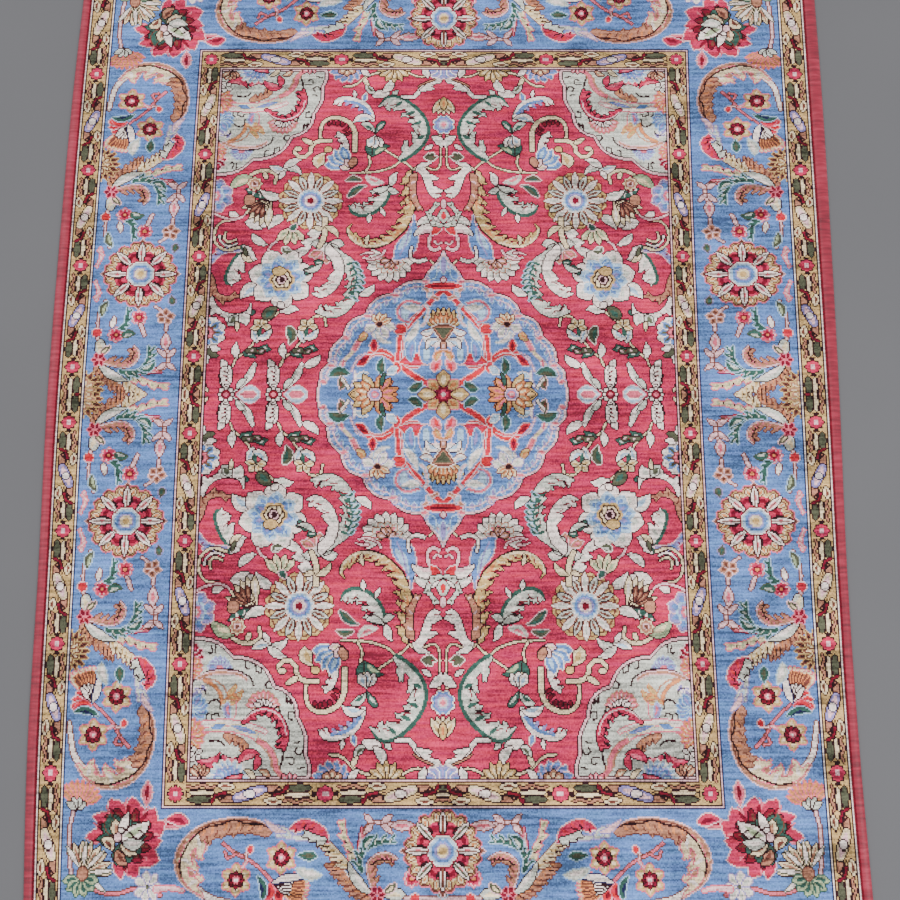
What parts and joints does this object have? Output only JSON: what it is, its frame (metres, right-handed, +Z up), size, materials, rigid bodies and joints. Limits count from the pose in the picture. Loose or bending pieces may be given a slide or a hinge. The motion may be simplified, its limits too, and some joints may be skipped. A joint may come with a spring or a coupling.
{
  "type": "silk rug",
  "caption": "Flat rectangular hand-knotted silk rug with a knotted pile body, thin woven end webs and an overcast selvedge along each long side.",
  "frame": {"origin": "middle of the underside, on the surface the rug lies on", "axes": "+Z up out of the pile, +Y along the rug's length, +X across it"},
  "size_m": [1.0215, 1.312, 0.0044],
  "materials": {
    "silk_pile": "dense silk pile with a soft sheen",
    "overcast_silk": "silk thread wound side by side"
  },
  "bodies": {
    "root": {"rug_body": "silk_pile", "selvedge_left": "overcast_silk", "selvedge_right": "overcast_silk"}
  },
  "joints": []
}
